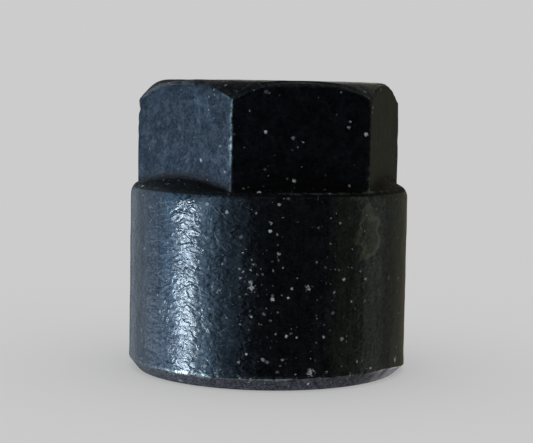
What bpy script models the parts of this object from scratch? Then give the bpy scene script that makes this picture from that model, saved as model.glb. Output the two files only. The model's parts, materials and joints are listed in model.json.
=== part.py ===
"""A screwed pipe cap: a steel body with a hexagonal head, a slip washer and a captive gasket.

Metres, +Z up. The origin is the centre of the mouth plane, and +Z runs along the axis of the
thread towards the closed end. One flat of the hexagon faces -Y, so two corners point along X.
"""

import math

import bmesh
import bpy

MM = 0.001

# Outside of the body
SKIRT_RADIUS = 18.0 * MM
BODY_HEIGHT = 37.2 * MM
HEX_ACROSS_FLATS = 30.0 * MM
HEX_EDGE_ROUND = 0.4 * MM

# Foot chamfer, round the mouth
FOOT_CHAMFER_HEIGHT = 1.6 * MM
FOOT_CHAMFER_WIDTH = 1.1 * MM

# Shoulder: a round at the top of the skirt, then a cone that rises towards the hexagon
SHOULDER_ROUND_RADIUS = 1.8 * MM
SHOULDER_ROUND_ANGLE = math.radians(50)
SHOULDER_ROUND_START = 22.4 * MM
SHOULDER_SLOPE = math.radians(28)

# Crown: the turned rounding of the hexagon's top
CROWN_ROUND_START = 13.4 * MM
CROWN_ROUND_RADIUS = 3.2 * MM
CROWN_SLOPE = math.radians(43)

# Thread G 3/4, 55 degree form with flat crests and roots
THREAD_MAJOR_RADIUS = 26.441 / 2 * MM
THREAD_MINOR_RADIUS = 24.117 / 2 * MM
THREAD_PITCH = 1.814 * MM
THREAD_FLAT_SHARE = 1 / 6
THREAD_LENGTH = 17.0 * MM
LEAD_IN_RADIUS = 13.6 * MM

# Seal chamber above the thread, and the point that the drill leaves in the closed end
CHAMBER_RADIUS = 13.6 * MM
CHAMBER_FLOOR = 22.4 * MM
DRILL_RADIUS = 8.0 * MM
DRILL_POINT_ANGLE = math.radians(118)

# Seal parts
SEAL_GAP = 0.3 * MM
WASHER_OUTER_RADIUS = 11.9 * MM
WASHER_INNER_RADIUS = 8.3 * MM
WASHER_THICKNESS = 1.0 * MM
WASHER_EDGE = 0.15 * MM
GASKET_OUTER_RADIUS = 13.0 * MM
GASKET_INNER_RADIUS = 9.0 * MM
GASKET_THICKNESS = 2.0 * MM
GASKET_EDGE = 0.3 * MM

# Facets
OUTSIDE_STEPS = 72
SOCKET_STEPS = 60
RING_STEPS = 60
THREAD_STEPS = 44
HEX_EDGE_STEPS = 3
CROWN_ARC_STEPS = 6
SHOULDER_ARC_STEPS = 3
SHARP_ANGLE = math.radians(32)

# How far a cutter runs past what it cuts, and how far the socket's core keeps off the thread
OVERRUN = 1.0 * MM
CORE_CLEARANCE = 0.3 * MM
MERGE_DISTANCE = 1e-6


def clear_scene():
    for obj in list(bpy.data.objects):
        bpy.data.objects.remove(obj, do_unlink=True)


def finish(name, colour, roughness, metallic):
    """A material with the given linear colour."""
    material = bpy.data.materials.new(name)
    material.use_nodes = True
    shader = material.node_tree.nodes["Principled BSDF"]
    shader.inputs["Base Color"].default_value = (*colour, 1.0)
    shader.inputs["Roughness"].default_value = roughness
    shader.inputs["Metallic"].default_value = metallic
    material.diffuse_color = (*colour, 1.0)
    return material


def add_object(name, mesh_data, material=None):
    """Writes a closed bmesh to a new object, with its faces pointing out."""
    bmesh.ops.recalc_face_normals(mesh_data, faces=mesh_data.faces)
    mesh = bpy.data.meshes.new(name)
    mesh_data.to_mesh(mesh)
    mesh_data.free()
    obj = bpy.data.objects.new(name, mesh)
    bpy.context.scene.collection.objects.link(obj)
    if material is not None:
        mesh.materials.append(material)
    return obj


def as_cutter(obj):
    """A helper that shapes another object and isn't part of the cap itself."""
    obj.hide_render = True
    obj.display_type = "WIRE"
    return obj


def arc(centre_r, centre_z, radius, start, end, steps):
    """Points (r, z) on an arc of the turned profile, from one angle above +r to another."""
    points = []
    for i in range(steps + 1):
        angle = start + (end - start) * i / steps
        points.append((centre_r + radius * math.cos(angle), centre_z + radius * math.sin(angle)))
    return points


def turned_solid(name, profile, steps, material=None):
    """Spins a profile of (r, z) points about Z. Its ends meet the axis or each other."""
    shape = bmesh.new()
    verts = [shape.verts.new((r, 0, z)) for r, z in profile]
    edges = [shape.edges.new(pair) for pair in zip(verts, verts[1:])]
    if profile[0][0] > 0:
        edges.append(shape.edges.new((verts[-1], verts[0])))
    bmesh.ops.spin(
        shape,
        geom=verts + edges,
        cent=(0, 0, 0),
        axis=(0, 0, 1),
        angle=math.tau,
        steps=steps,
        use_duplicate=False,
    )
    bmesh.ops.remove_doubles(shape, verts=shape.verts, dist=MERGE_DISTANCE)
    return add_object(name, shape, material)


def chamfered_ring(name, inner, outer, thickness, edge, material):
    """A flat ring centred on its own origin, with its four edges chamfered."""
    high = thickness / 2
    profile = [
        (inner + edge, high),
        (outer - edge, high),
        (outer, high - edge),
        (outer, edge - high),
        (outer - edge, -high),
        (inner + edge, -high),
        (inner, edge - high),
        (inner, high - edge),
    ]
    return turned_solid(name, profile, RING_STEPS, material)


def shoulder_profile():
    """The skirt's top round, then the cone, from the wall up to the axis."""
    points = arc(
        SKIRT_RADIUS - SHOULDER_ROUND_RADIUS,
        SHOULDER_ROUND_START,
        SHOULDER_ROUND_RADIUS,
        0,
        SHOULDER_ROUND_ANGLE,
        SHOULDER_ARC_STEPS,
    )
    edge_r, edge_z = points[-1]
    points.append((0, edge_z + edge_r * math.tan(SHOULDER_SLOPE)))
    return points


def skirt_blank():
    """The solid turned blank below the hexagon."""
    profile = [
        (0, 0),
        (SKIRT_RADIUS - FOOT_CHAMFER_WIDTH, 0),
        (SKIRT_RADIUS, FOOT_CHAMFER_HEIGHT),
    ]
    profile += shoulder_profile()
    return turned_solid("skirt_blank", profile, OUTSIDE_STEPS)


def crown_envelope():
    """The turned shape that trims the hexagon: flat top, round, then a slope to past the corners."""
    top = math.pi / 2
    rounding = arc(
        CROWN_ROUND_START,
        BODY_HEIGHT - CROWN_ROUND_RADIUS,
        CROWN_ROUND_RADIUS,
        top,
        top - CROWN_SLOPE,
        CROWN_ARC_STEPS,
    )
    rounding_end_r, rounding_end_z = rounding[-1]
    outer_r = SKIRT_RADIUS + OVERRUN
    outer_z = rounding_end_z - (outer_r - rounding_end_r) * math.tan(CROWN_SLOPE)
    profile = [(0, BODY_HEIGHT)] + rounding + [(outer_r, outer_z), (outer_r, 0), (0, 0)]
    return turned_solid("crown_envelope", profile, OUTSIDE_STEPS)


def hexagon_bar(material):
    """The hexagon, run down into the blank, with its upright edges rounded."""
    corner_radius = HEX_ACROSS_FLATS / math.sqrt(3)
    shape = bmesh.new()
    corners = []
    for k in range(6):
        angle = math.radians(60 * k)
        place = (corner_radius * math.cos(angle), corner_radius * math.sin(angle), CHAMBER_FLOOR)
        corners.append(shape.verts.new(place))
    floor = shape.faces.new(corners)
    raised = bmesh.ops.extrude_face_region(shape, geom=[floor], use_keep_orig=True)
    moved = [item for item in raised["geom"] if isinstance(item, bmesh.types.BMVert)]
    bmesh.ops.translate(shape, verts=moved, vec=(0, 0, BODY_HEIGHT + OVERRUN - CHAMBER_FLOOR))
    upright = [e for e in shape.edges if abs(e.verts[0].co.z - e.verts[1].co.z) > OVERRUN]
    bmesh.ops.bevel(
        shape,
        geom=upright,
        offset=HEX_EDGE_ROUND * math.tan(math.radians(30)),
        offset_type="OFFSET",
        segments=HEX_EDGE_STEPS,
        profile=0.5,
        affect="EDGES",
    )
    return add_object("cap_body", shape, material)


def socket_cutter():
    """The lead-in, the seal chamber and the drill point. The thread cutter opens the bore."""
    core = THREAD_MINOR_RADIUS - CORE_CLEARANCE
    drill_depth = DRILL_RADIUS / math.tan(DRILL_POINT_ANGLE / 2)
    profile = [
        (0, CHAMBER_FLOOR + drill_depth),
        (DRILL_RADIUS, CHAMBER_FLOOR),
        (CHAMBER_RADIUS, CHAMBER_FLOOR),
        (CHAMBER_RADIUS, THREAD_LENGTH),
        (core, THREAD_LENGTH),
        (core, LEAD_IN_RADIUS - core),
        (LEAD_IN_RADIUS + OVERRUN, -OVERRUN),
        (0, -OVERRUN),
    ]
    return as_cutter(turned_solid("socket_cutter", profile, SOCKET_STEPS))


def thread_cutter():
    """A right-hand screw the shape of the thread's void, from below the mouth into the chamber."""
    # One turn of the thread form: radius, and height as a share of the pitch
    turn = [
        (THREAD_MINOR_RADIUS, 0),
        (THREAD_MINOR_RADIUS, THREAD_FLAT_SHARE),
        (THREAD_MAJOR_RADIUS, 0.5),
        (THREAD_MAJOR_RADIUS, 0.5 + THREAD_FLAT_SHARE),
        (THREAD_MINOR_RADIUS, 1),
    ]
    start_z = -THREAD_PITCH - OVERRUN / 4
    turns = math.ceil((THREAD_LENGTH - start_z) / THREAD_PITCH * 2) / 2
    count = round(turns * THREAD_STEPS)

    shape = bmesh.new()
    columns = []
    for i in range(count + 1):
        angle = math.tau * i / THREAD_STEPS
        rise = start_z + THREAD_PITCH * i / THREAD_STEPS
        column = []
        for radius, share in turn:
            place = (radius * math.cos(angle), radius * math.sin(angle), rise + share * THREAD_PITCH)
            column.append(shape.verts.new(place))
        columns.append(column)
    for left, right in zip(columns, columns[1:]):
        for low in range(len(turn) - 1):
            shape.faces.new((left[low], right[low], right[low + 1], left[low + 1]))

    # Each end is a fan from a point on the axis round the first or the last turn
    bottom = shape.verts.new((0, 0, start_z - OVERRUN))
    first_turn = [column[0] for column in columns[: THREAD_STEPS + 1]]
    bottom_loop = first_turn + columns[0][-2:0:-1]
    top = shape.verts.new((0, 0, start_z + (turns + 1) * THREAD_PITCH + OVERRUN))
    last_turn = [column[-1] for column in columns[-THREAD_STEPS - 1 :]]
    top_loop = last_turn + columns[-1][-2:0:-1]
    for centre, loop in ((bottom, bottom_loop), (top, top_loop)):
        for a, b in zip(loop, loop[1:] + loop[:1]):
            shape.faces.new((centre, a, b))
    bmesh.ops.remove_doubles(shape, verts=shape.verts, dist=MERGE_DISTANCE)
    return as_cutter(add_object("thread_cutter", shape))


def add_boolean(obj, other, operation):
    modifier = obj.modifiers.new(other.name, "BOOLEAN")
    modifier.object = other
    modifier.operation = operation
    modifier.solver = "EXACT"


def cap_body():
    """The one-piece steel body: hexagon, shoulder and skirt outside, thread and chamber inside."""
    body = hexagon_bar(finish("black_oxide_steel", (0.03, 0.034, 0.042), 0.42, 1.0))
    add_boolean(body, as_cutter(crown_envelope()), "INTERSECT")
    add_boolean(body, as_cutter(skirt_blank()), "UNION")
    add_boolean(body, socket_cutter(), "DIFFERENCE")
    add_boolean(body, thread_cutter(), "DIFFERENCE")
    return body


def slip_washer(body):
    """The thin steel washer that lies against the chamber's floor and slides along the body's axis."""
    washer = chamfered_ring(
        "slip_washer",
        WASHER_INNER_RADIUS,
        WASHER_OUTER_RADIUS,
        WASHER_THICKNESS,
        WASHER_EDGE,
        finish("bright_steel", (0.56, 0.56, 0.58), 0.3, 1.0),
    )
    washer.parent = body
    washer.location.z = CHAMBER_FLOOR - SEAL_GAP - WASHER_THICKNESS / 2
    return washer


def sealing_gasket(washer):
    """The rubber ring below the washer. It is wider than the thread's bore, and so captive."""
    gasket = chamfered_ring(
        "sealing_gasket",
        GASKET_INNER_RADIUS,
        GASKET_OUTER_RADIUS,
        GASKET_THICKNESS,
        GASKET_EDGE,
        finish("nitrile_rubber", (0.03, 0.03, 0.03), 0.75, 0.0),
    )
    gasket.parent = washer
    gasket.location.z = -(WASHER_THICKNESS / 2 + SEAL_GAP + GASKET_THICKNESS / 2)
    return gasket


def shade(obj):
    """Smooth on round surfaces, sharp at the edges that the turning and the flats leave."""
    obj.data.shade_smooth()
    obj.data.set_sharp_from_angle(angle=SHARP_ANGLE)


clear_scene()
body = cap_body()
washer = slip_washer(body)
gasket = sealing_gasket(washer)
for part in (body, washer, gasket):
    shade(part)
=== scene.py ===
"""The looks of the pipe cap: a worn, dusty black steel body with its hexagon, skirt, thread and
seal chamber, a bright slip washer and a rubber gasket, on a pale floor under soft light.

Shapes are worked out in millimetres, +Z up, from the frame's own boxes and mounts. A bearing is
an angle round the axis in degrees, counted from -Y towards +X.
"""

import json
import math

import bmesh
import bpy
import numpy as np
from mathutils import Matrix, Vector, noise


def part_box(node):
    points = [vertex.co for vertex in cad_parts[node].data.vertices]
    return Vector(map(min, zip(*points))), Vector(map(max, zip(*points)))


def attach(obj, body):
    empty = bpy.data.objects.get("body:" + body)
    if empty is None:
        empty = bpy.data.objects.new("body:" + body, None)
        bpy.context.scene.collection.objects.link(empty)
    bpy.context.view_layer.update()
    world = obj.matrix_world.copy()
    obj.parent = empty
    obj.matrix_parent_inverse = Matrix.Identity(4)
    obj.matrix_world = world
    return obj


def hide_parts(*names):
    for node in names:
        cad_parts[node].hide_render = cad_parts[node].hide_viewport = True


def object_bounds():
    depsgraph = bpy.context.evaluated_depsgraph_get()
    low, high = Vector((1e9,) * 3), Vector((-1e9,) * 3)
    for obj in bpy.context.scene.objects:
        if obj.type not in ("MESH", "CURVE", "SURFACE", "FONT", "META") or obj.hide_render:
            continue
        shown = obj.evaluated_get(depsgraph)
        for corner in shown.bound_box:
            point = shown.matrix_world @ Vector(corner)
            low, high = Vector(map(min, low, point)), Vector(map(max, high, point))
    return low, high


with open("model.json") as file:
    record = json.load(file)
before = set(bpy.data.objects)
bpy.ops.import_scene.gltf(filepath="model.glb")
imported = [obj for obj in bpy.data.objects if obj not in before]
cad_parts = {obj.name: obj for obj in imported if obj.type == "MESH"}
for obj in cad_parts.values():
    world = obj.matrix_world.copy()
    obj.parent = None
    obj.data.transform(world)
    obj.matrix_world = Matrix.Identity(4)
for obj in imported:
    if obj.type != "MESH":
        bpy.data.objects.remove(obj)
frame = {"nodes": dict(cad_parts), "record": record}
cad_low, cad_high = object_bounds()

MM = 0.001
mounts = {mount["name"]: mount for mount in frame["record"]["mounts"]}

# Outside of the body, from the frame, and the hexagon with one corner that stands proud
BODY_RADIUS = cad_high.x / MM
BODY_HEIGHT = cad_high.z / MM
APOTHEM = -mounts["wrench_flat_1"]["pos_m"][1] / MM
HEX_EDGE_ROUND = 0.4
PROUD_CORNER_BEARING = 90
PROUD_CORNER = 0.3

# Foot: a chamfer round the mouth, turned a little askew and low at one side, with a burr along its
# upper edge. The outside's many columns meet the inside's fewer ones between the two seams.
FOOT_LIP = 0.06
WALL_RADIUS = BODY_RADIUS - FOOT_LIP
FOOT_LIP_SPREAD = 1.0
FOOT_EDGE_ROUND = 0.2
FOOT_CHAMFER_HEIGHT = 1.57
FOOT_TILT = 0.18
FOOT_TILT_BEARING = 60
FOOT_LOW_BEARING = 76
FOOT_LOW_SPREAD = 26
FOOT_LOW_DROP = 1.0
RIM_RADIUS = BODY_RADIUS - 1.1
RIM_EDGE_ROUND = 0.35
RIM_SEAM_RADIUS = 14.6
INNER_SEAM_RADIUS = RIM_SEAM_RADIUS - 0.5

# Shoulder: a round at the skirt's top, then a cone up to the hexagon
SHOULDER_ROUND_START = 22.4
SHOULDER_ROUND_RADIUS = 1.8
SHOULDER_ROUND_ANGLE = math.radians(50)
SHOULDER_SLOPE = math.radians(28)
HEX_FOOT_ROUND = 0.45

# Crown: the turned rounding of the hexagon's top, a little off the body's axis. The disc inside it
# is slightly domed.
CROWN_ROUND_START = 13.4
CROWN_ROUND_RADIUS = 3.2
CROWN_SLOPE = math.radians(43)
CROWN_EDGE_ROUND = 0.4
CROWN_OFF_CENTRE = 0.39
CROWN_OFF_BEARING = 28
TOP_FALL = 0.05

# The crown's edge is blunter over one face. The edge is rounded between the face and a point of
# the crown that lies CROWN_EDGE_REACH inwards, and where it is blunt the crown's look starts lower.
CROWN_EDGE_REACH = 2.6
BLUNT_BEARING = 0
BLUNT_SPREAD = 17
BLUNT_ROUND = 0.8
BLUNT_DROP = 0.5

# Thread G 3/4 and the socket behind it
THREAD_MAJOR = 26.441 / 2
THREAD_MINOR = 24.117 / 2
THREAD_PITCH = 1.814
THREAD_TOP = 17.0
THREAD_ROWS = 8
LEAD_IN_RADIUS = 13.6
CHAMBER_RADIUS = 13.6
CHAMBER_FLOOR = 22.4
CHAMBER_ROUND = 0.35
DRILL_RADIUS = 8.0
DRILL_HALF_ANGLE = math.radians(59)
DRILL_DEPTH = DRILL_RADIUS / math.tan(DRILL_HALF_ANGLE)

# Fineness of the meshes: angles near a corner of the hexagon, columns between, columns of the
# outside for each one of the inside, and rows along each stretch of the outside
CORNER_ANGLES = (0, 0.3, 0.6, 0.9, 1.2, 1.5, 1.9, 2.4, 3.0)
COLUMNS_BETWEEN = 85
OUTER_PER_INNER = 3
RIM_ROWS = 3
CHAMFER_ROWS = 5
WALL_ROWS = 44
SHOULDER_ROWS = 8
CONE_ROWS = 6
FLAT_ROWS = 19
CROWN_ROWS = 12
TOP_ROWS = 12
RING_COLUMNS = 240

# How much the rounding of the worn edges varies, how quickly it does so round the body, and how
# much wider the crown's edge is midway between two corners of the hexagon
EDGE_UNEVENNESS = 0.8
EDGE_LUMPS = 9
MIDWAY_WIDENING = 0.3

# Unevenness of the faces, as (depth, waves for each millimetre); the mouth's rim stays flat
SWELLS = ((0.035, 0.16), (0.035, 0.42), (0.012, 0.75))
RIM_KEPT_FLAT = 0.05

# Nicks along worn edges: waves for each millimetre, the noise that starts to cut, and the depth
NICK_WAVES = 1.3
NICK_SHIFT = Vector((7, 3, 1))
NICK_THRESHOLD = 0.2
NICK_SLOPE = 0.25
NICK_DEEPEST = 0.07

# Knocks the body has taken: bearing, height, reach and depth
DENTS = (
    (-90, 33.4, 0.5, 0.25),
    (84, 36.6, 3.2, 0.14),
    (-30, 35.0, 0.9, 0.16),
    (-30, 31.6, 0.5, 0.09),
    (-30, 28.4, 0.7, 0.08),
    (-62, 36.4, 0.9, 0.14),
    (-48, 36.2, 0.5, 0.08),
    (12, 36.3, 0.7, 0.10),
    (30, 35.1, 0.7, 0.10),
    (40, 1.6, 0.8, 0.10),
    (-5, 1.7, 0.6, 0.08),
)

# Edges rubbed bare: bearing, height and reach
BARE_SPOTS = (
    (-90, 33.4, 0.6),
    (-57, 36.3, 2.6),
    (-66, 36.4, 1.6),
    (-31, 33.8, 1.3),
    (-31, 29.2, 1.6),
    (-52, 1.5, 2.6),
    (-42, 1.5, 3.2),
    (-12, 1.6, 3.0),
    (-4, 23.8, 2.2),
    (9, 23.8, 3.2),
    (21, 23.8, 3.0),
    (31, 23.8, 2.4),
)

# A pale, ringed stain on the skirt: bearing, height, half width and half height
STAIN = (28, 18.9, 2.2, 3.5)

# Reach of the wear beside the turned edges, and beside the hexagon's upright ones on the side
# where it is widest; reach of the grime and painted shade in the hollow round the hexagon's foot
EDGE_WEAR = {"crown": 0.24, "shoulder": 0.26, "foot": 0.3}
UPRIGHT_WEAR = 0.6
GRIME_AND_SHADE_REACH = 0.7

# Where dust has settled most, and the shares of it that lie above that, everywhere, and on the
# hexagon
DUSTY_BEARING = -14
DUSTY_SPREAD = 30
DUSTY_TOP = 17.0
DUST_ABOVE = 0.45
DUST_EVERYWHERE = 0.22
DUST_ON_HEXAGON = 0.6

# Ripples in the oxide: size and depth, where they are deepest, and their share elsewhere
RIPPLE_SIZE = 1.3
RIPPLE_DEPTH = 0.125
RIPPLED_BEARING = -58
RIPPLED_SPREAD = 42
RIPPLES_ELSEWHERE = 0.5
RIPPLES_ON_FLATS = 0.2
RIPPLES_ON_CROWN = 0.4


# ---------------------------------------------------------------- shapes


def azimuth_of(bearing):
    """The angle from +X, in radians, of a bearing in degrees."""
    return math.radians(bearing - 90)


def apart(azimuth, other):
    """The size of the angle between two azimuths, in radians."""
    return np.abs((azimuth - other + math.pi) % math.tau - math.pi)


def near(distance, spread):
    """1 at no distance, falling to nothing a few spreads away."""
    return np.exp(-((distance / spread) ** 2))


def hexagon_columns():
    """Azimuths round the body, close together at the hexagon's six corners, which start at +X."""
    last = CORNER_ANGLES[-1]
    between = np.linspace(last, 60 - last, COLUMNS_BETWEEN)[1:]
    closing = [60 - angle for angle in CORNER_ANGLES[-2:0:-1]]
    angles = [*CORNER_ANGLES, *between, *closing]
    return np.radians([60 * side + angle for side in range(6) for angle in angles])


def from_corner(azimuth):
    """Signed angle to the hexagon's nearest corner."""
    return (azimuth + math.pi / 6) % (math.pi / 3) - math.pi / 6


def hexagon_radius(azimuth):
    """Distance from the axis to the hexagon's outline: rounded corners, and one of them proud."""
    angle = from_corner(azimuth)
    flat = APOTHEM / np.cos(math.pi / 6 - np.abs(angle))
    centre = (APOTHEM - HEX_EDGE_ROUND) / math.cos(math.pi / 6)
    inside = np.clip(HEX_EDGE_ROUND**2 - (centre * np.sin(angle)) ** 2, 0, None)
    rounded = centre * np.cos(angle) + np.sqrt(inside)
    tangent = math.atan2(HEX_EDGE_ROUND / 2, centre + HEX_EDGE_ROUND * math.cos(math.pi / 6))
    outline = np.where(np.abs(angle) < tangent, rounded, flat)
    from_proud = apart(azimuth, azimuth_of(PROUD_CORNER_BEARING))
    lift = PROUD_CORNER * np.clip(1 - from_proud / (math.pi / 3), 0, 1)
    return outline * (1 + lift / centre)


def crown_height(radius):
    """Height of the crown at a distance from the axis."""
    run = np.clip(radius - CROWN_ROUND_START, 0, CROWN_ROUND_RADIUS * math.sin(CROWN_SLOPE))
    drop = CROWN_ROUND_RADIUS - np.sqrt(CROWN_ROUND_RADIUS**2 - run**2)
    beyond = np.clip(radius - CROWN_ROUND_START - run, 0, None)
    domed = TOP_FALL * np.minimum(radius / CROWN_ROUND_START, 1) ** 2
    return BODY_HEIGHT - domed - drop - beyond * math.tan(CROWN_SLOPE)


def from_crown_axis(azimuth, radius):
    """Distance from the crown's own axis, which is a little off the body's."""
    return radius - CROWN_OFF_CENTRE * np.cos(azimuth - azimuth_of(CROWN_OFF_BEARING))


def foot_height(azimuth):
    """Height of the foot chamfer's upper edge."""
    tilted = FOOT_CHAMFER_HEIGHT + FOOT_TILT * np.cos(azimuth - azimuth_of(FOOT_TILT_BEARING))
    from_low = apart(azimuth, azimuth_of(FOOT_LOW_BEARING))
    return tilted - FOOT_LOW_DROP * near(from_low, math.radians(FOOT_LOW_SPREAD))


def profile(radius, height, count):
    """A row of count points (radius, height); either may be one number or one for each point."""
    return np.stack(np.broadcast_arrays(np.zeros(count) + radius, height), axis=1)


def straight(start, end, count):
    """Rows from start towards end, without end itself."""
    return [start + (end - start) * i / count for i in range(count)]


def fillet(before, corner, after, radius, steps):
    """Rows along a curve that rounds a corner of the profile, in every column at once."""
    back, ahead = before - corner, after - corner
    back_length = np.linalg.norm(back, axis=1, keepdims=True)
    ahead_length = np.linalg.norm(ahead, axis=1, keepdims=True)
    back, ahead = back / back_length, ahead / ahead_length
    between = np.arccos(np.clip((back * ahead).sum(1, keepdims=True), -1, 1))
    reach = np.reshape(radius, (-1, 1)) / np.tan(between / 2)
    reach = np.minimum(reach, 0.45 * np.minimum(back_length, ahead_length))
    rows = []
    for i in range(steps + 1):
        t = i / steps
        first = corner + back * reach * (1 - t)
        second = corner + ahead * reach * t
        rows.append(first * (1 - t) + second * t)
    return rows


class Shell:
    """A mesh made of rings of points, kept as lists: places, faces and named point values."""

    def __init__(self):
        self.places = []
        self.faces = []
        self.values = {}

    def ring(self, azimuth, row, **values):
        """Adds a row of (radius, height) points, one at each azimuth, and returns their numbers."""
        numbers = range(len(self.places), len(self.places) + len(row))
        for angle, (radius, height) in zip(azimuth, row):
            self.places.append((radius * math.cos(angle), radius * math.sin(angle), height))
        for name, value in values.items():
            self.values.setdefault(name, {}).update(zip(numbers, np.broadcast_to(value, len(row))))
        return list(numbers)

    def point(self, height):
        """Adds a point on the axis."""
        self.places.append((0.0, 0.0, height))
        return len(self.places) - 1

    def bands(self, rings):
        """Quads between each ring and the next, which have as many points."""
        for low, high in zip(rings, rings[1:]):
            for i in range(len(low)):
                j = (i + 1) % len(low)
                self.faces.append((low[i], low[j], high[j], high[i]))

    def fan(self, ring, centre):
        """Triangles between a ring and a point."""
        for i in range(len(ring)):
            self.faces.append((ring[i], ring[(i + 1) % len(ring)], centre))

    def build(self, name, reshape=None):
        """The object, in metres. reshape may move the places, an array in millimetres."""
        places = np.array(self.places)
        mesh = bpy.data.meshes.new(name)
        mesh.from_pydata((places * MM).tolist(), [], self.faces)
        for label, known in self.values.items():
            values = np.zeros(len(places), np.float32)
            values[list(known)] = list(known.values())
            attribute = mesh.attributes.new(label, "FLOAT", "POINT")
            attribute.data.foreach_set("value", values)
        obj = bpy.data.objects.new(name, mesh)
        bpy.context.scene.collection.objects.link(obj)
        if reshape is not None:
            normals = np.array([vert.normal for vert in mesh.vertices])
            mesh.vertices.foreach_set("co", (reshape(places, normals) * MM).ravel())
        weld(mesh)
        mesh.shade_smooth()
        return obj


def weld(mesh):
    """Merges points that meet, and drops the faces which that leaves without area."""
    shape = bmesh.new()
    shape.from_mesh(mesh)
    bmesh.ops.remove_doubles(shape, verts=shape.verts, dist=1e-7)
    bmesh.ops.dissolve_degenerate(shape, edges=shape.edges, dist=1e-8)
    shape.to_mesh(mesh)
    shape.free()


# ---------------------------------------------------------------- the body


def outer_rows(azimuth):
    """Rows of the outside from the mouth's rim to the crown, and the edges they pass."""
    count = len(azimuth)
    hexagon = hexagon_radius(azimuth)
    around = [Vector((math.cos(angle), math.sin(angle), 0)) * EDGE_LUMPS for angle in azimuth]
    uneven = EDGE_UNEVENNESS * np.array([noise.noise(place) for place in around])

    rim = profile(RIM_SEAM_RADIUS, 0.0, count)
    foot_low = profile(RIM_RADIUS, 0.0, count)
    foot = profile(WALL_RADIUS + FOOT_LIP, foot_height(azimuth), count)
    wall_top = profile(WALL_RADIUS, SHOULDER_ROUND_START, count)
    shoulder_round = []
    for angle in np.linspace(0, SHOULDER_ROUND_ANGLE, SHOULDER_ROWS):
        out = WALL_RADIUS - SHOULDER_ROUND_RADIUS * (1 - math.cos(angle))
        up = SHOULDER_ROUND_START + SHOULDER_ROUND_RADIUS * math.sin(angle)
        shoulder_round.append(profile(out, up, count))
    shoulder = shoulder_round[-1]
    rise = (shoulder[:, 0] - hexagon) * math.tan(SHOULDER_SLOPE)
    hollow = profile(hexagon, shoulder[:, 1] + rise, count)
    crown = profile(hexagon, crown_height(from_crown_axis(azimuth, hexagon)), count)
    inner = hexagon - CROWN_EDGE_REACH
    inwards = profile(inner, crown_height(from_crown_axis(azimuth, inner)), count)

    blunt = near(apart(azimuth, azimuth_of(BLUNT_BEARING)), math.radians(BLUNT_SPREAD))
    midway = np.sin(3 * azimuth) ** 2
    worn = CROWN_EDGE_ROUND * (1 + uneven + MIDWAY_WIDENING * midway) + BLUNT_ROUND * blunt
    rim_round = fillet(rim, foot_low, foot, RIM_EDGE_ROUND, 4)
    foot_round = fillet(foot_low, foot, wall_top, FOOT_EDGE_ROUND * (1 + uneven), 4)
    hollow_round = fillet(shoulder, hollow, crown, HEX_FOOT_ROUND, 5)
    crown_round = fillet(hollow, crown, inwards, worn, 5)

    rows = straight(rim, rim_round[0], RIM_ROWS) + rim_round[:-1]
    rows += straight(rim_round[-1], foot_round[0], CHAMFER_ROWS) + foot_round[:-1]
    for row in straight(foot_round[-1], wall_top, WALL_ROWS):
        lip = FOOT_LIP * near(row[:, 1] - foot[:, 1], FOOT_LIP_SPREAD)
        rows.append(profile(WALL_RADIUS + lip, row[:, 1], count))
    rows += shoulder_round[:-1]
    rows += straight(shoulder, hollow_round[0], CONE_ROWS) + hollow_round[:-1]
    rows += straight(hollow_round[-1], crown_round[0], FLAT_ROWS) + crown_round
    for t in np.linspace(0, 1, CROWN_ROWS)[1:]:
        radius = crown_round[-1][:, 0] * (1 - t) + CROWN_ROUND_START * t
        rows.append(profile(radius, crown_height(from_crown_axis(azimuth, radius)), count))
    for radius in np.linspace(CROWN_ROUND_START, 0, TOP_ROWS)[1:-1]:
        rows.append(profile(radius, crown_height(radius), count))
    crown_look = profile(hexagon, crown[:, 1] - BLUNT_DROP * blunt, count)
    return rows, {"foot": foot, "shoulder": shoulder, "hollow": hollow, "crown": crown_look}


def spot(azimuth, row, bearing, height, reach):
    """1 at a spot on the outside, falling to nothing a few reaches away and over the flat top."""
    aside = apart(azimuth, azimuth_of(bearing)) * row[:, 0]
    inwards = np.clip(CROWN_ROUND_START - row[:, 0], 0, None)
    return near(np.hypot(np.hypot(aside, row[:, 1] - height), inwards), reach)


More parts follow.
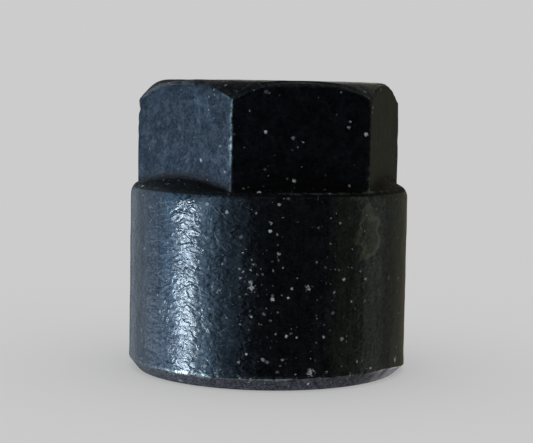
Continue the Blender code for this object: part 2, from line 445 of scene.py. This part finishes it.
def surface_values(azimuth, row, edges):
    """For one row: how much wear, grime and painted shade, dust and so on there is at each of its
    points.
    """
    away = {name: np.linalg.norm(row - edge, axis=1) for name, edge in edges.items()}
    height = row[:, 1]
    on_hexagon = np.clip((height - edges["hollow"][:, 1]) / 0.6, 0, 1)
    above_crown = height > edges["crown"][:, 1] + 0.01
    on_cone = (height > edges["shoulder"][:, 1] - 0.4) & (height < edges["hollow"][:, 1] + 0.3)

    beside = row[:, 0] * np.sin(from_corner(azimuth))
    breadth = np.where(beside < 0, UPRIGHT_WEAR, UPRIGHT_WEAR / 3)
    upright = near(beside, breadth) * on_hexagon * np.where(above_crown, 0.5, 0.7)
    rims = [near(away[name], reach) for name, reach in EDGE_WEAR.items()]
    bare = np.max([spot(azimuth, row, *where) for where in BARE_SPOTS], axis=0)
    # Grime with painted shade: the hollow round the hexagon's foot and the whole shoulder cone are
    # darkened for shade as well as dirt
    grime_and_shade = np.maximum(near(away["hollow"], GRIME_AND_SHADE_REACH), on_cone)

    bearing, middle, half_width, half_height = STAIN
    aside = apart(azimuth, azimuth_of(bearing)) * row[:, 0] / half_width
    stain = near(np.hypot(aside, (height - middle) / half_height), 1.0)
    dusty = near(apart(azimuth, azimuth_of(DUSTY_BEARING)), math.radians(DUSTY_SPREAD))
    dusty *= np.where(height < DUSTY_TOP, 1.0, DUST_ABOVE)
    dusty = dusty * (1 - DUST_EVERYWHERE) + DUST_EVERYWHERE
    rippled = near(apart(azimuth, azimuth_of(RIPPLED_BEARING)), math.radians(RIPPLED_SPREAD))
    rippled = rippled * (1 - RIPPLES_ELSEWHERE) + RIPPLES_ELSEWHERE
    return {
        "wear": np.maximum(upright, np.max(rims, axis=0)),
        "bare": bare,
        "grime_and_shade": grime_and_shade,
        "flat": on_hexagon * ~above_crown,
        "crown": above_crown * 1.0,
        "rippled": rippled,
        "stain": stain * (height < SHOULDER_ROUND_START + 1),
        "dusty": dusty * (1 - (1 - DUST_ON_HEXAGON) * on_hexagon),
        "foot": np.clip((edges["foot"][:, 1] - height) / 0.15, 0, 1),
    }


def knocked_about(shell, outer):
    """The reshaping of the body: uneven faces, dents, and small nicks along worn edges."""
    wear = shell.values["wear"]

    def reshape(places, normals):
        azimuth = np.arctan2(places[:, 1], places[:, 0])
        row = np.stack([np.hypot(places[:, 0], places[:, 1]), places[:, 2]], axis=1)
        depth = sum(dent[3] * spot(azimuth, row, *dent[:3]) for dent in DENTS)
        for i in outer:
            if places[i][2] < RIM_KEPT_FLAT:
                continue
            place = Vector(places[i])
            swell = sum(most * noise.noise(place * waves) for most, waves in SWELLS)
            nick = max(noise.noise(place * NICK_WAVES + NICK_SHIFT) - NICK_THRESHOLD, 0)
            swell -= depth[i] + min(NICK_SLOPE * nick, NICK_DEEPEST) * wear[i]
            places[i] += normals[i] * swell
        radius = np.hypot(places[:, 0], places[:, 1])
        places[:, :2] *= np.minimum(1, BODY_RADIUS / np.maximum(radius, 1e-9))[:, None]
        places[:, 2] = np.clip(places[:, 2], 0, BODY_HEIGHT)
        return places

    return reshape


def thread_radius(share):
    """The thread's wall at a share of the pitch: crest, flank, root and flank, all softened.

    rise goes from 0 along the crest to 1 along the root, and each is a sixth of the pitch wide.
    """
    rise = np.clip((1 - np.abs(2 * (share % 1) - 1)) * 1.5 - 0.25, 0, 1)
    soft = 0.5 - 0.5 * np.cos(math.pi * rise)
    return THREAD_MINOR + (THREAD_MAJOR - THREAD_MINOR) * (0.6 * rise + 0.4 * soft)


def add_thread(shell, azimuth, low):
    """Rows that follow the helix from the lead-in up to the chamber, level at both ends."""
    share = azimuth / math.tau
    first = low - THREAD_PITCH
    row_count = math.ceil((THREAD_TOP - first) / THREAD_PITCH * THREAD_ROWS)
    rings = []
    for k in range(row_count + 1):
        height = np.clip(first + THREAD_PITCH * (k / THREAD_ROWS + share), low, THREAD_TOP)
        radius = np.maximum(thread_radius(height / THREAD_PITCH - share), LEAD_IN_RADIUS - height)
        rings.append(shell.ring(azimuth, np.stack([radius, height], axis=1), inside=1.0))
    last = len(azimuth) - 1
    for k in range(row_count):
        low_row, high_row = rings[k], rings[k + 1]
        for i in range(last):
            shell.faces.append((low_row[i + 1], low_row[i], high_row[i], high_row[i + 1]))
        over = rings[min(k + THREAD_ROWS, row_count)][0]
        above = rings[min(k + 1 + THREAD_ROWS, row_count)][0]
        shell.faces.append((over, low_row[last], high_row[last], above))
    return rings[0], rings[-1]


def add_socket(shell, azimuth, seam):
    """The inside, from the seam on the rim to the drill's point."""
    count = len(azimuth)
    rim = profile(INNER_SEAM_RADIUS, 0.0, count)
    lip = profile(LEAD_IN_RADIUS, 0.0, count)
    lead = profile(LEAD_IN_RADIUS - 0.5, 0.5, count)
    mouth = fillet(rim, lip, lead, 0.25, 3)
    rings = [seam] + [shell.ring(azimuth, row, inside=1.0) for row in mouth]
    thread_low, thread_high = add_thread(shell, azimuth, float(mouth[-1][0, 1]))
    shell.bands([thread_low] + rings[::-1])

    top = profile(CHAMBER_RADIUS, THREAD_TOP, count)
    corner = profile(CHAMBER_RADIUS, CHAMBER_FLOOR, count)
    drill = profile(DRILL_RADIUS, CHAMBER_FLOOR, count)
    point = profile(0.0, CHAMBER_FLOOR + DRILL_DEPTH, count)
    corner_round = fillet(top, corner, drill, CHAMBER_ROUND, 4)
    chamber = straight(top, corner_round[0], 4) + corner_round[:-1]
    chamber += straight(corner_round[-1], drill, 3) + straight(drill, point, 5)
    rings = [thread_high] + [shell.ring(azimuth, row, inside=1.0) for row in chamber]
    shell.bands(rings[::-1])
    shell.fan(rings[-1][::-1], shell.point(CHAMBER_FLOOR + DRILL_DEPTH))


def cap_body():
    """The steel body as one closed mesh, with values that say where it is worn or dirty and where
    shade is painted.
    """
    azimuth = hexagon_columns()
    shell = Shell()
    rows, edges = outer_rows(azimuth)
    rings = [shell.ring(azimuth, row, **surface_values(azimuth, row, edges)) for row in rows]
    outer = range(len(shell.places))
    shell.bands(rings)
    shell.fan(rings[-1], shell.point(BODY_HEIGHT))

    inner_azimuth = azimuth[::OUTER_PER_INNER]
    count = len(inner_azimuth)
    seam = shell.ring(inner_azimuth, profile(INNER_SEAM_RADIUS, 0.0, count))
    for j in range(count):
        start = OUTER_PER_INNER * j
        above = [rings[0][(start + i) % len(azimuth)] for i in range(OUTER_PER_INNER + 1)]
        here, following = seam[j], seam[(j + 1) % count]
        shell.faces += [(above[i + 1], above[i], here) for i in range(OUTER_PER_INNER - 1)]
        shell.faces += [(above[-1], above[-2], following), (above[-2], here, following)]
    add_socket(shell, inner_azimuth, seam)
    return shell.build("cap_body_shell", knocked_about(shell, outer))


# ---------------------------------------------------------------- the two rings


def turned_ring(name, corners):
    """A closed ring from the corners of its section, each (radius, height, rounding)."""
    azimuth = np.linspace(0, math.tau, RING_COLUMNS, endpoint=False)
    shell = Shell()
    places = [profile(radius, height, RING_COLUMNS) for radius, height, _ in corners]
    arcs = []
    for i, (_, _, rounding) in enumerate(corners):
        arcs.append(fillet(places[i - 1], places[i], places[(i + 1) % len(places)], rounding, 4))
    rows = []
    for arc, following in zip(arcs, arcs[1:] + arcs[:1]):
        rows += arc[:-1] + straight(arc[-1], following[0], 6)
    rings = [shell.ring(azimuth, row) for row in rows]
    shell.bands(rings + rings[:1])
    return shell.build(name)


def bore_radius(node):
    """Distance from the axis to the nearest point of a CAD node, in millimetres."""
    return min(vert.co.xy.length for vert in frame["nodes"][node].data.vertices) / MM


def slip_washer():
    """A stamped washer: the punch has rolled its upper edges over and left the lower ones sharp."""
    low, high = (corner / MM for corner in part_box("slip_washer"))
    inner = bore_radius("slip_washer")
    sharp, rolled = 0.08, 0.25
    corners = [
        (inner, low.z, sharp),
        (high.x, low.z, sharp),
        (high.x, high.z, rolled),
        (inner, high.z, rolled),
    ]
    return turned_ring("slip_washer_ring", corners)


def sealing_gasket():
    """A moulded ring with soft edges and a thin flash line round its outside."""
    low, high = (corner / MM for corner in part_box("sealing_gasket"))
    inner = bore_radius("sealing_gasket")
    middle = (low.z + high.z) / 2
    flash, half_flash, soft = 0.06, 0.12, 0.35
    outside = high.x - flash
    corners = [
        (inner, low.z, soft),
        (outside, low.z, soft),
        (outside, middle - half_flash, 0.05),
        (high.x, middle, 0.03),
        (outside, middle + half_flash, 0.05),
        (outside, high.z, soft),
        (inner, high.z, soft),
    ]
    return turned_ring("sealing_gasket_ring", corners)


# ---------------------------------------------------------------- materials

# The body's colours: the first two are (darker, paler)
SKIRT_COLOURS = ((0.040, 0.047, 0.056), (0.052, 0.060, 0.068))
FLAT_COLOURS = ((0.016, 0.0205, 0.027), (0.0255, 0.0315, 0.040))
FLAKE_COLOUR = (0.12, 0.13, 0.14)
CHIP_COLOUR = (0.15, 0.15, 0.165)
STAIN_COLOUR = (0.078, 0.086, 0.084)
STAIN_RING_COLOUR = (0.15, 0.165, 0.155)
FOOT_COLOUR = (0.046, 0.048, 0.055)
# Dark grime deepened with painted shade, for the hollow round the hexagon's foot and the shoulder
# cone
GRIME_AND_SHADE_COLOUR = (0.013, 0.010, 0.009)
BARE_COLOUR = (0.17, 0.205, 0.20)
DUST_COLOUR = (0.22, 0.23, 0.235)


class Finish:
    """A node material under construction. Its methods add nodes, and most return an output."""

    def __init__(self, name):
        self.material = bpy.data.materials.new(name)
        self.material.use_nodes = True
        self.tree = self.material.node_tree
        self.shader = self.tree.nodes["Principled BSDF"]
        self.coords = self.tree.nodes.new("ShaderNodeTexCoord").outputs["Object"]

    def node(self, kind, inputs, **settings):
        """A shader node with its inputs fed and its settings made."""
        node = self.tree.nodes.new("ShaderNode" + kind)
        for key, value in settings.items():
            setattr(node, key, value)
        for key, value in inputs.items():
            self.feed(node.inputs[key], value)
        return node

    def feed(self, socket, value):
        """Links an output to a socket, or gives it a number, a vector or a colour."""
        if isinstance(value, bpy.types.NodeSocket):
            self.tree.links.new(value, socket)
        elif isinstance(value, tuple) and socket.type == "RGBA":
            socket.default_value = (*value, 1.0)
        else:
            socket.default_value = value

    def stretched(self, scale):
        """The object's coordinates, scaled apart along each axis."""
        return self.node("Mapping", {"Vector": self.coords, "Scale": scale}).outputs["Vector"]

    def noise(self, size, detail=3.0, roughness=0.55, distortion=0.0, vector=None):
        """Noise whose features are about size millimetres across."""
        inputs = {
            "Vector": vector or self.coords,
            "Scale": 1 / (size * MM),
            "Detail": detail,
            "Roughness": roughness,
            "Distortion": distortion,
        }
        return self.node("TexNoise", inputs).outputs["Fac"]

    def value(self, name):
        """A named point value of the mesh."""
        return self.node("Attribute", {}, attribute_name=name).outputs["Fac"]

    def step(self, value, low, high, out_low=0.0, out_high=1.0):
        """A smooth rise from out_low to out_high as value goes from low to high."""
        inputs = {
            "Value": value,
            "From Min": low,
            "From Max": high,
            "To Min": out_low,
            "To Max": out_high,
        }
        return self.node("MapRange", inputs, interpolation_type="SMOOTHSTEP").outputs["Result"]

    def math(self, operation, first, second=0.0):
        """A number worked out from two others."""
        node = self.node("Math", {}, operation=operation)
        self.feed(node.inputs[0], first)
        self.feed(node.inputs[1], second)
        return node.outputs[0]

    def times(self, first, second):
        return self.math("MULTIPLY", first, second)

    def plus(self, first, second):
        return self.math("ADD", first, second)

    def mix(self, share, first, second, blend_type="MIX"):
        """A colour between first and second."""
        node = self.node("Mix", {"Factor": share}, data_type="RGBA", blend_type=blend_type)
        self.feed(node.inputs[6], first)
        self.feed(node.inputs[7], second)
        return node.outputs[2]

    def blend(self, share, first, second):
        """A number between first and second."""
        node = self.node("Mix", {"Factor": share}, data_type="FLOAT")
        self.feed(node.inputs[2], first)
        self.feed(node.inputs[3], second)
        return node.outputs[0]

    def bump(self, height, depth, normal=None):
        """A bumped normal, from a height between 0 and 1 and a depth in millimetres."""
        inputs = {"Height": height, "Distance": depth * MM, "Strength": 1.0}
        if normal is not None:
            inputs["Normal"] = normal
        return self.node("Bump", inputs).outputs["Normal"]

    def finish(self, colour, roughness, metallic, normal=None):
        """Feeds the surface's shader, and returns the material."""
        self.feed(self.shader.inputs["Base Color"], colour)
        self.feed(self.shader.inputs["Roughness"], roughness)
        self.feed(self.shader.inputs["Metallic"], metallic)
        if normal is not None:
            self.feed(self.shader.inputs["Normal"], normal)
        return self.material


def dust_specks(f, size, density, largest, ragged=0.12):
    """Soft specks in a share of the cells of a size: 0 between them, up to 1 on the palest."""
    inputs = {"Vector": f.coords, "Scale": 1 / (size * MM)}
    cells = f.node("TexVoronoi", inputs, feature="F1")
    pick = f.node("SeparateColor", {"Color": cells.outputs["Color"]})
    chosen = f.math("LESS_THAN", pick.outputs["Red"], density)
    reach = f.step(pick.outputs["Green"], 0, 1, largest * 0.4, largest)
    paleness = f.step(pick.outputs["Blue"], 0, 1, 0.3, 1.0)
    edge = f.plus(cells.outputs["Distance"], f.step(f.noise(0.3), 0.3, 0.7, -ragged, ragged))
    inside = f.step(edge, f.math("SUBTRACT", reach, 0.12), f.plus(reach, 0.02), 1.0, 0.0)
    return f.times(f.times(chosen, inside), paleness)


def oxide(f, flat, mottle, fleck):
    """The oxide's own colour: mottled, streaked upright, smudged, and darker on the flats."""
    patch = f.step(f.noise(6.0, detail=4), 0.35, 0.65)
    skirt_colour = f.mix(patch, *SKIRT_COLOURS)
    flat_colour = f.mix(f.step(mottle, 0.32, 0.7), *FLAT_COLOURS)
    colour = f.mix(flat, skirt_colour, flat_colour)
    colour = f.mix(1.0, colour, f.blend(f.value("crown"), 1.0, 0.8), "MULTIPLY")

    streaks = f.noise(0.7, detail=3, vector=f.stretched((1, 1, 0.07)))
    curls = f.noise(0.9, detail=2, roughness=0.6, distortion=2.5)
    scuffs = f.noise(1.6, detail=3, roughness=0.6, distortion=1.8)
    streaked = f.times(f.step(streaks, 0.3, 0.7, -0.16, 0.16), f.blend(flat, 1.0, 0.35))
    shade = f.plus(f.step(fleck, 0.3, 0.7, -0.3, 0.3), streaked)
    shade = f.plus(shade, f.step(curls, 0.35, 0.65, -0.18, 0.18))
    shade = f.plus(shade, f.times(flat, f.step(scuffs, 0.5, 0.72, -0.06, 0.7)))
    shade = f.plus(shade, f.step(mottle, 0.3, 0.7, 0.85, 1.15))
    colour = f.mix(1.0, colour, shade, "MULTIPLY")

    flakes = f.times(f.step(fleck, 0.66, 0.74), f.step(mottle, 0.4, 0.6))
    colour = f.mix(f.times(flakes, 0.5), colour, FLAKE_COLOUR)
    chips = f.step(f.noise(0.6, detail=4, roughness=0.75), 0.49, 0.62)
    return f.mix(f.times(f.value("crown"), f.times(chips, 0.55)), colour, CHIP_COLOUR)


def stained(f, colour):
    """The colour with a dried stain on it, paler along its ragged edge."""
    stain = f.plus(f.value("stain"), f.step(f.noise(1.8, detail=1), 0.3, 0.7, -0.2, 0.2))
    inside = f.step(stain, 0.30, 0.52)
    edge = f.times(inside, f.step(stain, 0.80, 0.56))
    colour = f.mix(f.times(inside, 0.45), colour, STAIN_COLOUR)
    return f.mix(f.times(edge, 0.42), colour, STAIN_RING_COLOUR)


def worn_edges(f):
    """How bare the edges are: broken up, and most at the spots that have been rubbed."""
    broken = f.step(f.noise(0.8, detail=4), 0.38, 0.6)
    bare = f.plus(f.times(f.value("bare"), 0.9), f.step(f.noise(4.0), 0.5, 0.7, 0.05, 0.4))
    return f.times(f.times(f.step(f.value("wear"), 0.3, 0.8), broken), bare)


def settled_dust(f, flat):
    """Clumps, specks and fine grains of dust on the outside."""
    outside = f.math("SUBTRACT", 1.0, f.value("inside"))
    dusty = f.times(f.value("dusty"), outside)
    clumps = dust_specks(f, 3.4, f.times(dusty, f.blend(flat, 0.35, 0.0)), 0.17, ragged=0.08)
    specks = dust_specks(f, 1.15, f.times(dusty, 0.7), 0.25, ragged=0.07)
    grains = dust_specks(f, 0.6, f.times(dusty, 0.5), 0.28)
    return f.math("MAXIMUM", f.math("MAXIMUM", clumps, specks), f.times(grains, 0.6))


def rippled_oxide(f, flat):
    """The normal of the rippled oxide, shallower on the flats and on the crown."""
    squat = f.stretched((1, 1, 1.8))
    ripples = f.noise(RIPPLE_SIZE, detail=1.5, roughness=0.5, distortion=1.0, vector=squat)
    share = f.blend(flat, f.value("rippled"), RIPPLES_ON_FLATS)
    share = f.blend(f.value("crown"), share, RIPPLES_ON_CROWN)
    return f.bump(f.times(ripples, share), RIPPLE_DEPTH)


def black_steel():
    """Black oxide over a turned and forged body: grainy, smudged, dusty, and bare at the edges,
    with grime and painted shade round the hexagon's foot.
    """
    f = Finish("black_oxide_steel")
    flat = f.value("flat")
    foot = f.value("foot")
    mottle = f.noise(1.3, detail=5, roughness=0.65)
    fleck = f.noise(0.4, detail=3, roughness=0.7)
    # Grime with painted shade in the hollow and on the shoulder cone, broken up by the mottle
    grime_and_shade = f.times(f.value("grime_and_shade"), f.step(mottle, 0.25, 0.6, 0.6, 1.0))
    dust = settled_dust(f, flat)

    colour = stained(f, oxide(f, flat, mottle, fleck))
    grain = f.step(f.noise(0.4, detail=3, roughness=0.75), 0.3, 0.7, 0.2, 2.0)
    colour = f.mix(f.times(foot, 0.8), colour, f.mix(1.0, FOOT_COLOUR, grain, "MULTIPLY"))
    # Painted shade and grime: a near-black colour laid over the hollow and the shoulder cone
    colour = f.mix(f.times(grime_and_shade, 0.9), colour, GRIME_AND_SHADE_COLOUR)
    colour = f.mix(worn_edges(f), colour, BARE_COLOUR)
    colour = f.mix(dust, colour, DUST_COLOUR)

    roughness = f.step(mottle, 0.3, 0.7, 0.20, 0.28)
    for share, duller in ((flat, 0.46), (grime_and_shade, 0.62), (foot, 0.45), (dust, 0.9)):
        roughness = f.blend(share, roughness, duller)

    normal = f.bump(fleck, 0.007, rippled_oxide(f, flat))
    normal = f.bump(dust, 0.03, normal)
    return f.finish(colour, roughness, f.math("SUBTRACT", 1.0, dust), normal)


def bright_steel():
    """Stamped steel with a fine grain along one direction and a few dull stains."""
    f = Finish("bright_steel")
    streaks = f.noise(1.0, detail=4, vector=f.stretched((0.25, 5.0, 5.0)))
    stain = f.step(f.noise(3.0, detail=4), 0.55, 0.75)
    colour = f.mix(streaks, (0.48, 0.48, 0.50), (0.66, 0.66, 0.67))
    colour = f.mix(f.times(stain, 0.6), colour, (0.24, 0.19, 0.15))
    roughness = f.step(streaks, 0.3, 0.7, 0.24, 0.42)
    roughness = f.blend(stain, roughness, 0.6)
    return f.finish(colour, roughness, 1.0, f.bump(streaks, 0.006))


def nitrile_rubber():
    """Matt moulded rubber with a fine grain and a little grey bloom."""
    f = Finish("nitrile_rubber")
    grain = f.noise(0.18, detail=4, roughness=0.7)
    bloom = f.step(f.noise(2.5, detail=5), 0.45, 0.75)
    colour = f.mix(f.times(bloom, 0.5), (0.022, 0.022, 0.023), (0.075, 0.073, 0.070))
    roughness = f.step(bloom, 0.0, 1.0, 0.55, 0.85)
    return f.finish(colour, roughness, 0.0, f.bump(grain, 0.02))


# ---------------------------------------------------------------- stage, light and camera

# The camera, in metres and radians: where it stands, how it turns from a level line to the axis,
# and its lens in millimetres
CAMERA_BEARING = math.radians(-14.8)
CAMERA_DISTANCE = 0.18774
CAMERA_HEIGHT = 0.03564
CAMERA_YAW = 0.0015
CAMERA_PITCH = 0.0889
CAMERA_ROLL = 0.0166
CAMERA_LENS = 97.5

# The pale backdrop as the camera sees it, the world's fill on matt surfaces and in reflections, and
# how much of the floor's paleness is its own glow
PALE = 0.604
WORLD_FILL = 0.755
WORLD_REFLECTED = 0.05
FLOOR_GLOW = 0.5
FLOOR_HALF_SIZE = 40.0
FLOOR_CORNERS = ((-1, -1), (1, -1), (1, 1), (-1, 1))

# Where the panels point, and how far off the upright ones stand, in metres
OBJECT_MIDDLE = Vector((0, 0, 0.02))
PANEL_DISTANCE = 0.6

# Upright panels round the object: name, angle to the right of the camera, width in degrees,
# radiance and colour. The window's core is narrow and bright, and also short and low.
WINDOW_CORE = ("window_core", -70, 4.5, 50.0, (0.90, 0.97, 1.0))
SIDE_PANELS = (
    ("window_sky", -54, 22, 1.75, (0.54, 0.78, 1.0)),
    ("window_wing", -31, 24, 0.34, (0.58, 0.80, 1.0)),
    ("left_gap", -85, 20, 2.05, (0.396, 0.704, 1.0)),
    ("left_wall", -110, 30, 1.2, (0.62, 0.80, 1.0)),
    ("left_back", -142, 32, 0.55, (0.72, 0.86, 1.0)),
    ("right_front", 70, 32, 0.080, (0.97, 0.95, 0.56)),
    ("right_wall", 96, 24, 0.37, (0.97, 0.97, 0.72)),
    ("right_back", 124, 30, 0.125, (0.98, 0.96, 0.66)),
    ("right_far", 157, 30, 0.08, (1.0, 0.90, 0.42)),
    ("behind", 177, 16, 0.35, (1.0, 0.96, 0.82)),
)

# Panels below and above: name, place, width, height, radiance and colour
LEVEL_PANELS = (
    ("under", (0.05, -0.07, -0.25), 0.34, 0.34, 0.75, (0.92, 0.93, 1.0)),
    ("under_left", (-0.24, 0.08, -0.2), 0.3, 0.4, 1.1, (0.88, 0.90, 1.0)),
    ("under_right", (0.257, 0.222, -0.208), 0.16, 0.16, 1.5, (0.94, 0.92, 1.0)),
    ("over", (0.0, 0.12, 0.5), 1.0, 1.0, 0.105, (0.95, 0.96, 1.0)),
)


def towards(angle):
    """Level unit vector at an angle from -Y towards +X."""
    return Vector((math.sin(angle), -math.cos(angle), 0))


def add_camera():
    """The scene's camera, turned by yaw and pitch from a level line to the axis, then rolled."""
    camera = bpy.data.objects.new("camera", bpy.data.cameras.new("camera"))
    bpy.context.scene.collection.objects.link(camera)
    camera.data.lens = CAMERA_LENS
    camera.data.clip_start = 0.01
    level = towards(CAMERA_BEARING + CAMERA_YAW) * -math.cos(CAMERA_PITCH)
    ahead = (level - Vector((0, 0, math.sin(CAMERA_PITCH)))).normalized()
    right = ahead.cross(Vector((0, 0, 1))).normalized()
    up = right.cross(ahead)
    cos, sin = math.cos(CAMERA_ROLL), math.sin(CAMERA_ROLL)
    turn = Matrix((right * cos + up * sin, up * cos - right * sin, -ahead)).transposed()
    place = towards(CAMERA_BEARING) * CAMERA_DISTANCE + Vector((0, 0, CAMERA_HEIGHT))
    camera.matrix_world = Matrix.Translation(place) @ turn.to_4x4()
    bpy.context.scene.camera = camera


def add_panel(name, place, width, height, radiance, colour, lit):
    """A soft rectangular light at a place, turned towards the object and shining only on it."""
    light = bpy.data.lights.new(name, "AREA")
    light.shape = "RECTANGLE"
    light.size = width
    light.size_y = height
    light.energy = radiance * math.pi * width * height
    light.color = colour
    panel = bpy.data.objects.new(name, light)
    bpy.context.scene.collection.objects.link(panel)
    panel.location = place
    panel.rotation_mode = "QUATERNION"
    panel.rotation_quaternion = (OBJECT_MIDDLE - panel.location).to_track_quat("-Z", "Y")
    panel.visible_camera = False
    panel.light_linking.receiver_collection = lit


def add_side_panel(name, angle, spread, radiance, colour, lit, middle=0.02, height=1.0):
    """An upright panel at an angle to the right of the camera, and so many degrees wide."""
    place = towards(CAMERA_BEARING + math.radians(angle)) * PANEL_DISTANCE + Vector((0, 0, middle))
    width = 2 * PANEL_DISTANCE * math.tan(math.radians(spread / 2))
    add_panel(name, place, width, height, radiance, colour, lit)


def add_floor():
    """A pale floor that reaches to the horizon. The object's own reflections don't see it."""
    mesh = bpy.data.meshes.new("floor")
    corners = [(x * FLOOR_HALF_SIZE, y * FLOOR_HALF_SIZE, 0) for x, y in FLOOR_CORNERS]
    mesh.from_pydata(corners, [], [(0, 1, 2, 3)])
    floor = bpy.data.objects.new("floor", mesh)
    bpy.context.scene.collection.objects.link(floor)
    f = Finish("pale_floor")
    share = (1 - FLOOR_GLOW) * PALE / WORLD_FILL
    mesh.materials.append(f.finish((share, share, share), 1.0, 0.0))
    f.shader.inputs["Specular IOR Level"].default_value = 0.0
    f.shader.inputs["Emission Color"].default_value = (1, 1, 1, 1)
    f.shader.inputs["Emission Strength"].default_value = FLOOR_GLOW * PALE
    floor.visible_glossy = False
    floor.visible_diffuse = False
    floor.visible_shadow = False


def add_world():
    """Pale grey seen straight on, an even fill on matt surfaces, and nearly dark in reflections."""
    world = bpy.data.worlds.new("studio")
    bpy.context.scene.world = world
    world.use_nodes = True
    tree = world.node_tree
    background = tree.nodes["Background"]
    path = tree.nodes.new("ShaderNodeLightPath")
    fill = tree.nodes.new("ShaderNodeMix")
    fill.inputs[2].default_value = WORLD_FILL
    fill.inputs[3].default_value = PALE
    tree.links.new(path.outputs["Is Camera Ray"], fill.inputs[0])
    strength = tree.nodes.new("ShaderNodeMix")
    tree.links.new(path.outputs["Is Glossy Ray"], strength.inputs[0])
    tree.links.new(fill.outputs[0], strength.inputs[2])
    strength.inputs[3].default_value = WORLD_REFLECTED
    tree.links.new(strength.outputs[0], background.inputs["Strength"])
    background.inputs["Color"].default_value = (1, 1, 1, 1)
    world.cycles.sampling_method = "NONE"


# ---------------------------------------------------------------- assembly

# Each piece with its material, the body it rides on, the CAD node it replaces and its slot
pieces = [
    (cap_body(), black_steel(), "cap", "cap_body", "black_oxide_steel"),
    (slip_washer(), bright_steel(), "washer", "slip_washer", "bright_steel"),
    (sealing_gasket(), nitrile_rubber(), "gasket", "sealing_gasket", "nitrile_rubber"),
]
lit = bpy.data.collections.new("lit")
for piece, material, body, node, slot in pieces:
    piece.data.materials.append(material)
    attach(piece, body)
    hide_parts(node)
    lit.objects.link(piece)

add_world()
add_floor()
add_side_panel(*WINDOW_CORE, lit, middle=-0.13, height=0.22)
for panel in SIDE_PANELS:
    add_side_panel(*panel, lit)
for panel in LEVEL_PANELS:
    add_panel(*panel, lit)
add_camera()
bpy.context.scene.view_settings.view_transform = "Standard"
